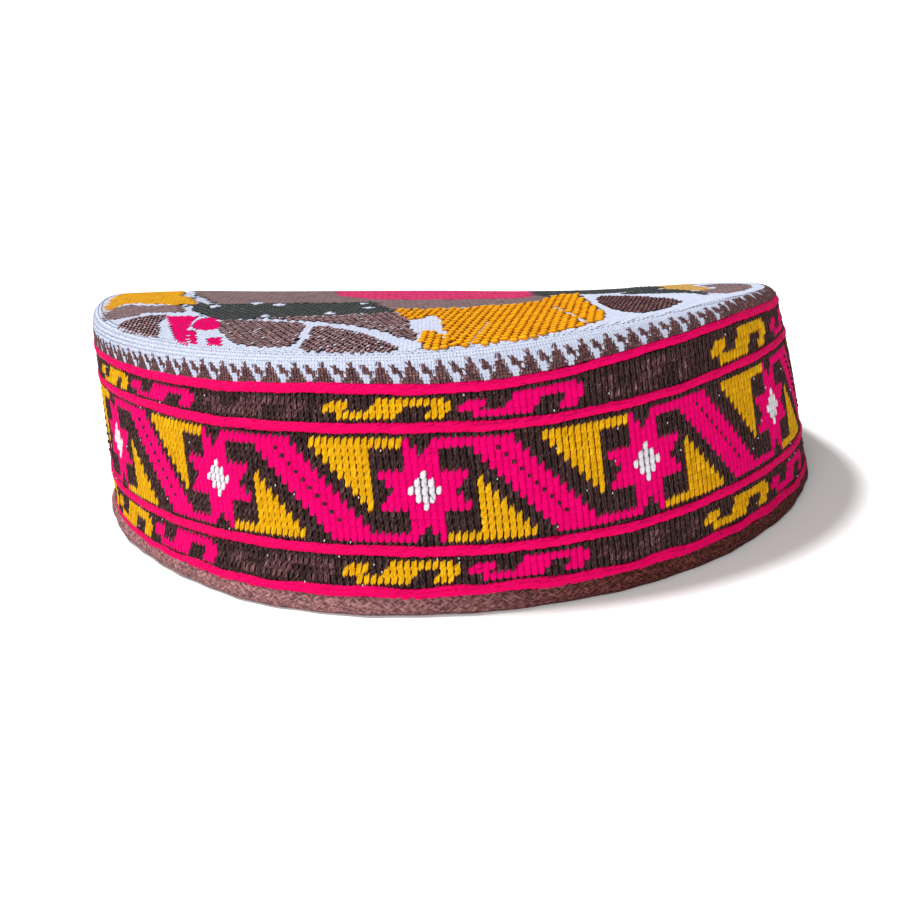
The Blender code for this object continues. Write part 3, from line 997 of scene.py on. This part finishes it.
crown = {
    "edge": 1.6, "stop": 1.2, "leastEnd": 0.2, "smoothSteps": 8, "lineSteps": 12, "mirrorLine": -10.0,
    "reach": 96, "fineSteps": (0.4, 0.4), "overlap": 0.68, "turned": 0.12, "flatter": 0.7, "sink": 0.25,
    # row gap and pitch of the white ground, the white spots and the thin white lines
    "whiteGap": 0.85, "whitePitch": 1.6, "spotRows": (1.0, 1.2), "spotGap": 1.1, "spotPitch": 1.4,
    "spotSquash": 0.7, "thinLine": 1.0, "lineStops": 1.3, "linePitch": 2.2,
    # bits of the white base among the mauve: how many, how far aside, how large and how high
    "flecks": 0.1, "fleckShift": 0.5, "fleckSize": 0.45, "fleckLift": 0.42,
}
# A crown stitch in each thread, in row gaps: half width, half height, dip of its far end, and pitch
crownHand = {
    "gold": (0.66, 0.33, 0.18, 1.7), "mauve": (0.56, 0.44, 0.15, 2.7), "pink": (0.8, 0.28, 0.03, 2.4),
    "rose": (0.9, 0.11, 0.02, 2.4), "bottleGreen": (0.85, 0.13, 0.03, 2.4),
    "straw": (0.9, 0.12, 0.02, 2.0), "amber": (0.9, 0.12, 0.02, 2.0), "dust": (0.9, 0.13, 0.02, 2.4),
    "treeBrown": (0.62, 0.42, 0.12, 2.4), "rimWhite": (0.95, 0.14, 0.02, 1.9),
}


def smoothLine(points, steps, isClosed):
    corners = np.array(points, float)
    return np.stack([curveThrough(corners[:, axis], steps, isClosed) for axis in (0, 1)], -1)


def closedCurve(points):
    return smoothLine(points, np.arange(len(points) * crown["smoothSteps"]) / crown["smoothSteps"], True)


def openCurve(points):
    last = len(points) - 1
    return smoothLine(points, np.linspace(0, last - 0.0001, last * crown["lineSteps"]), False)


def insideCurve(x, y, loop):
    # even-odd test against a closed loop
    inside = np.zeros(x.shape, bool)
    for (startX, startY), (endX, endY) in zip(loop, np.roll(loop, -1, axis=0)):
        crosses = (startY > y) != (endY > y)
        cut = startX + (y - startY) / (endY - startY + 1e-12) * (endX - startX)
        inside ^= crosses & (x < cut)
    return inside


def distanceTo(x, y, path):
    best = np.full(x.shape, np.inf)
    for start, end in zip(path, path[1:]):
        span = end - start
        share = np.clip(((x - start[0]) * span[0] + (y - start[1]) * span[1]) / (span @ span), 0, 1)
        best = np.minimum(best, np.hypot(x - start[0] - span[0] * share, y - start[1] - span[1] * share))
    return best


def motifHolds(motif, x, y):
    points = np.array(motif["points"], float)
    if motif["kind"] == "line":
        return distanceTo(x, y, openCurve(points)) < motif["wide"] / 2
    if motif["kind"] == "spots":
        away = [np.hypot(x - spotX, (y - spotY) * crown["spotSquash"]) for spotX, spotY in points]
        return np.min(away, axis=0) < motif["wide"] / 2
    return insideCurve(x, y, points if motif["kind"] == "sharp" else closedCurve(points))


def edgeInset(x, y):
    # how far inside the crown's edge a place lies
    centreX, centreY = cap["lean"][:2] / 2
    angle = np.arctan2(x - centreX, centreY - y)
    corner = wallPoint(angle, np.ones_like(angle))
    return (np.hypot(corner[..., 0] - centreX, corner[..., 1] - centreY)
            - np.hypot(x - centreX, y - centreY))


def rowGrid(grain, gap, pitch):
    # places in rows over the whole crown; every second row is shifted by half a stitch
    rows = np.arange(-crown["reach"], crown["reach"], gap)
    steps = np.arange(-crown["reach"], crown["reach"], pitch)
    across, along = np.meshgrid(rows, steps, indexing="ij")
    along = along + (np.arange(len(rows)) % 2)[:, None] * pitch / 2
    angle = math.radians(grain)
    wayX, wayY = math.cos(angle), math.sin(angle)
    x = along * wayX - across * wayY
    y = along * wayY + across * wayX
    return x.ravel(), y.ravel(), (wayX, wayY)


def withFarHalf():
    # every motif that lies wholly in front of the fold is also sewn behind it, by a half turn
    centreX, centreY = cap["lean"][:2]
    motifs = []
    for motif in crownMotifs:
        motifs.append(motif)
        if max(y for _, y in motif["points"]) < crown["mirrorLine"]:
            turned = [(centreX - x, centreY - y) for x, y in motif["points"]]
            motifs.append({**motif, "points": turned})
    return motifs


def drawnBack(x, y, way, half):
    # an end that would pass the crown's edge is drawn back: where its middle goes, and the half length left
    inset = edgeInset(x, y)
    ends = []
    for sign in (-1, 1):
        outer = edgeInset(x + way[0] * half * sign, y + way[1] * half * sign)
        share = (inset - crown["stop"]) / np.maximum(inset - outer, 1e-6)
        kept = np.where(outer < crown["stop"], np.clip(share, crown["leastEnd"], 1), 1.0)
        ends.append(kept * sign * half)
    return (ends[0] + ends[1]) / 2, (ends[1] - ends[0]) / 2


def lay(needles, thread, x, y, way, gap, pitch, lift=0.0):
    wide, high, dip, _ = crownHand[thread]
    half = pitch * crown["overlap"]
    middle, long = drawnBack(x, y, way, half)
    place, across, up, outward = framesOn(
        topPoint, x + way[0] * middle, y + way[1] * middle, crown["fineSteps"])
    wayX, wayY = (np.broadcast_to(part, x.shape)[:, None] for part in way)
    along = across * wayX + up * wayY
    along = unit(along + np.cross(outward, along) * crown["turned"] - outward * dip)
    # a stitch that is cut short at the edge lies flatter
    height = gap * high * (long / half) ** crown["flatter"]
    raised = place + outward * (lift - height * crown["sink"])[:, None]
    needles[thread].add(raised, outward, along, halfSizes(gap * wide, long, height))


def layThinLine(needles, motif):
    curve = openCurve(motif["points"])
    lengths = np.r_[0, np.cumsum(np.hypot(*np.diff(curve, axis=0).T))]
    stops = np.arange(0, lengths[-1], crown["lineStops"])
    spot = np.stack([np.interp(stops, lengths, curve[:, axis]) for axis in (0, 1)], -1)
    way = unit(np.gradient(spot, axis=0))
    keep = edgeInset(*spot.T) > crown["edge"]
    lay(needles, "rimWhite", *spot[keep].T, way[keep].T, motif["wide"], crown["linePitch"])


def fillMotif(needles, motif, earlier, chance):
    thread, gap = motif["thread"], motif["gap"]
    pitch = gap * crownHand[thread][3]
    x, y, way = rowGrid(motif["grain"], gap, pitch)
    keep = motifHolds(motif, x, y) & (edgeInset(x, y) > crown["edge"])
    for other in earlier:
        keep &= ~motifHolds(other, x, y)
    lay(needles, thread, x[keep], y[keep], way, gap, pitch)
    if thread == "mauve":
        peeps = keep & (chance.random(len(x)) < crown["flecks"])
        lay(needles, "rimWhite", x[peeps] + gap * crown["fleckShift"], y[peeps], way,
            gap * crown["fleckSize"], gap, crown["fleckLift"])


def sewCrown():
    needles = {name: Needle() for name in crownHand}
    chance = np.random.default_rng(9)
    earlier = []
    whiteX, whiteY, whiteWay = rowGrid(90, crown["whiteGap"], crown["whitePitch"])
    white = edgeInset(whiteX, whiteY) > crown["edge"]
    for motif in withFarHalf():
        # a wide line is left to the white ground, a thin one is a single strand
        isWideLine = motif["kind"] == "line" and motif["wide"] >= crown["thinLine"]
        if motif["kind"] == "spots":
            x, y, way = rowGrid(90, *crown["spotRows"])
            keep = motifHolds(motif, x, y)
            lay(needles, "rimWhite", x[keep], y[keep], way, crown["spotGap"], crown["spotPitch"])
        elif motif["kind"] != "line":
            fillMotif(needles, motif, earlier, chance)
        elif not isWideLine:
            layThinLine(needles, motif)
        if not isWideLine:
            white &= ~motifHolds(motif, whiteX, whiteY)
        earlier.append(motif)
    lay(needles, "rimWhite", whiteX[white], whiteY[white], whiteWay, crown["whiteGap"], crown["whitePitch"])
    for seed, (name, needle) in enumerate(needles.items()):
        isBeaded = name in ("gold", "mauve", "treeBrown")
        rough = 0.14 if isBeaded else 0.05
        needle.sew("crownStitches_" + name, name, "crown", 50 + seed, rough, rough,
                   rings=4 if isBeaded else 3, blunt=0.3)


sewCrown()


# Cloth under the thread: closed shells with their own map in millimetres
shell = {"steps": 320, "sink": 0.35, "fineSteps": (0.004, 0.004), "joint": 0.006,
         "rimJoint": 0.002, "rimEnd": 0.02, "cornerShare": 0.97,
         "crownRings": (0.0, 0.04, *np.linspace(0.1, 0.96, 14))}
roundAngles = np.arange(shell["steps"]) / shell["steps"] * turn - np.pi


def ringOn(surface, share, depth):
    # a ring at one share of the wall or rim, a depth in from its outer face
    shares = np.full_like(roundAngles, share)
    place, _, _, outward = framesOn(surface, roundAngles, shares, shell["fineSteps"])
    return place - outward * depth


def ringFaces(first, second):
    # faces between two rings of points, given by the rings' numbers
    steps = shell["steps"]
    faces = []
    for step in range(steps):
        after = (step + 1) % steps
        faces.append((first * steps + step, first * steps + after,
                      second * steps + after, second * steps + step))
    return faces


def clothPiece(name, node, points, faces, maps, slots, materials):
    mesh = bpy.data.meshes.new(name)
    mesh.from_pydata(toMetres(points).tolist(), [], faces)
    layer = mesh.uv_layers.new(name="cloth")
    layer.data.foreach_set("uv", np.array(maps, np.float32).ravel())
    for material in materials:
        mesh.materials.append(material)
    mesh.polygons.foreach_set("material_index", slots)
    mesh.polygons.foreach_set("use_smooth", [True] * len(mesh.polygons))
    mesh.update()
    standFor(linkPiece(name, mesh), node)


def wallShell(name, node, loops, paintRows, materials):
    # loops: one ring of points for each step of the section, which is closed
    rings = np.array(loops)
    seamLine = np.r_[rings, rings[:1]][:, 0]
    lengths = np.r_[0, np.cumsum(np.linalg.norm(np.diff(seamLine, axis=0), axis=1))]
    width = turn * cap["midRadius"] / shell["steps"]
    faces, maps, slots = [], [], []
    for ring, (low, high) in enumerate(zip(lengths, lengths[1:])):
        faces += ringFaces(ring, (ring + 1) % len(rings))
        slots += [paintRows[ring]] * shell["steps"]
        for step in range(shell["steps"]):
            left, right = step * width, (step + 1) * width
            maps += [(left, low), (right, low), (right, high), (left, high)]
    clothPiece(name, node, rings.reshape(-1, 3), faces, maps, slots, materials)


def sideCloth():
    shares = np.linspace(cap["bindingTop"] + shell["joint"], cap["borderStart"] - shell["joint"], 15)
    outer = [ringOn(wallPoint, share, shell["sink"]) for share in shares]
    inner = [ringOn(wallPoint, share, cap["wall"]) for share in shares[::-1]]
    rows = [0] * len(outer) + [1] * (len(inner) - 1) + [0]
    wallShell("sideCloth", "side_band", outer + inner, rows, [groundPaint, liningPaint])


def rimCloth():
    start = cap["borderStart"] + shell["rimJoint"]
    rises = np.linspace(start, 2 - cap["shoulderStart"] + shell["rimEnd"], 12)
    outer = [ringOn(rimPoint, rise, shell["sink"]) for rise in rises]
    last = outer[-1] - np.array([0, 0, cap["crownThick"]])
    corner = wallPoint(roundAngles, np.ones_like(roundAngles))
    cornerShares = np.full_like(roundAngles, shell["cornerShare"])
    _, _, _, outward = framesOn(wallPoint, roundAngles, cornerShares, shell["fineSteps"])
    down = np.array([0, 0, -1.0])
    between = unit(down - outward)
    innerCorner = corner + between * (cap["wall"] / (between @ down))[:, None]
    inner = [last, innerCorner, ringOn(wallPoint, start, cap["wall"])]
    rows = [0] * (len(outer) - 1) + [1, 1, 1, 0]
    wallShell("rimCloth", "rim_border", outer + inner, rows, [rimGroundPaint, liningPaint])


# The binding's rings: share of its height, depth from the wall's outer face, and outside how much they swell
binding = {
    "outer": ((1.0, -0.3, 0.2), (0.8, -0.5, 0.7), (0.5, -0.55, 1.0), (0.2, -0.4, 1.0)),
    "inner": ((0.2, 3.3), (0.5, 3.45), (1.0, 3.4)), "footDepth": 0.25, "footOut": 0.7, "footSwell": 0.8,
    # how its upper edge wavers: height, waves in a turn and start
    "waver": ((0.15, 23, 0), (0.12, 61, 1)),
    "side": {"angle": -1.35, "reach": 0.45, "swell": 0.9},
}


def bindingCloth():
    # folded over the foot; it stands out more at the left side, and its upper edge wavers
    side = binding["side"]
    swell = side["swell"] * np.exp(-((roundAngles - side["angle"]) / side["reach"]) ** 2)
    for height, waves, start in binding["waver"]:
        swell = swell + height * np.sin(roundAngles * waves + start)
    loops = []
    for share, depth, gain in binding["outer"]:
        ring = ringOn(wallPoint, cap["bindingTop"] * share, depth)
        outward = unit(ring - ringOn(wallPoint, cap["bindingTop"] * share, depth + 1))
        loops.append(ring + outward * (swell * gain)[:, None])
    foot = ringOn(wallPoint, 0.0, binding["footDepth"] - binding["footOut"])
    outward = unit(foot - ringOn(wallPoint, 0.0, 1.0))
    foot = foot + outward * (swell * binding["footSwell"] - binding["footOut"])[:, None]
    innerFoot = ringOn(wallPoint, 0.0, cap["wall"] - binding["footDepth"])
    for ring in (foot, innerFoot):
        ring[:, 2] = 0.0
        loops.append(ring)
    loops += [ringOn(wallPoint, cap["bindingTop"] * share, depth) for share, depth in binding["inner"]]
    wallShell("bindingCloth", "edge_binding", loops[::-1], [0] * len(loops), [bindingPaint])


def crownCloth():
    edge = cap["rimInset"] + cap["seamGap"]
    corner = wallPoint(roundAngles, np.ones_like(roundAngles))
    centre = cap["lean"] / 2
    reach = np.hypot(corner[:, 0] - centre[0], corner[:, 1] - centre[1])
    rings = []
    for share in shell["crownRings"]:
        inner = 1 - (edge + (reach - edge) * share) / reach
        x = centre[0] + (corner[:, 0] - centre[0]) * inner
        y = centre[1] + (corner[:, 1] - centre[1]) * inner
        rings.append(topPoint(x, y))
    drops = [np.array([0, 0, depth]) for depth in (shell["sink"], cap["crownThick"])]
    loops = np.array([ring - drops[0] for ring in rings] + [ring - drops[1] for ring in rings[::-1]])
    middle = topPoint(np.array([centre[0]]), np.array([centre[1]]))[0]
    points = list(loops.reshape(-1, 3)) + [middle - drop for drop in drops]
    count, steps = loops.shape[:2]
    faces, slots = [], []
    for ring in range(count):
        if ring != len(rings) - 1:
            faces += ringFaces(ring, (ring + 1) % count)
            slots += [0 if ring < len(rings) or ring == count - 1 else 1] * steps
            continue
        # the inmost ring of each face closes on its own middle point
        for step in range(steps):
            after = (step + 1) % steps
            faces.append((ring * steps + step, ring * steps + after, count * steps))
            faces.append(((ring + 1) * steps + after, (ring + 1) * steps + step, count * steps + 1))
            slots += [0, 1]
    maps = [tuple(points[corner][:2]) for face in faces for corner in face]
    clothPiece("crownCloth", "crown", points, faces, maps, slots, [rimGroundPaint, liningPaint])


sideCloth()
rimCloth()
bindingCloth()
crownCloth()
print("cloth laid")


# Camera, floor and light
view = {"place": (-1.45, -255.43, 85.03), "turns": (71.628, 3.752, -1.314), "lens": 36.62}
camera = bpy.data.objects.new("camera", bpy.data.cameras.new("camera"))
camera.location = Vector(view["place"]) * mm
camera.rotation_euler = [math.radians(part) for part in view["turns"]]
camera.data.lens = view["lens"]
camera.data.sensor_width = 36
camera.data.clip_start = 0.01
bpy.context.scene.collection.objects.link(camera)
bpy.context.scene.camera = camera


def floorPlane():
    half = 6.0
    height = cadBox[0].z
    mesh = bpy.data.meshes.new("floor")
    corners = [(-half, -half, height), (half, -half, height), (half, half, height), (-half, half, height)]
    mesh.from_pydata(corners, [], [(0, 1, 2, 3)])
    material, wires, shader = newPaint("floorPaper", 0.9, 0.0)
    shader.inputs["Base Color"].default_value = (0.94, 0.94, 0.94, 1.0)
    mesh.materials.append(material)
    floor = linkPiece("floor", mesh)


def addLight(name, kind, place, target, settings):
    data = bpy.data.lights.new(name, kind)
    for label, value in settings.items():
        setattr(data, label, value)
    lamp = bpy.data.objects.new(name, data)
    lamp.location = place
    lamp.rotation_euler = (Vector(target) - Vector(place)).to_track_quat("-Z", "Y").to_euler()
    bpy.context.scene.collection.objects.link(lamp)


floorPlane()
addLight("key", "SUN", (-0.46, 0.25, 1.0), (0, 0, 0), {"energy": 4.2, "angle": math.radians(10)})
addLight("front", "AREA", (-0.4, -1.15, 0.34), (0, 0, 0.03), {"shape": "DISK", "size": 0.8, "energy": 13})
world = bpy.data.worlds.new("studio")
bpy.context.scene.world = world
world.use_nodes = True
air = Wires(world.node_tree)
seen = air.node("ShaderNodeLightPath", None, None, "Is Camera Ray")
strength = seen * 0.7 + 0.32  # the camera sees white, the cap gets less of it
world.node_tree.links.new(strength.socket, world.node_tree.nodes["Background"].inputs["Strength"])
world.node_tree.nodes["Background"].inputs["Color"].default_value = (1.0, 1.0, 1.0, 1.0)
bpy.context.scene.view_settings.view_transform = "Standard"
print("stage set")
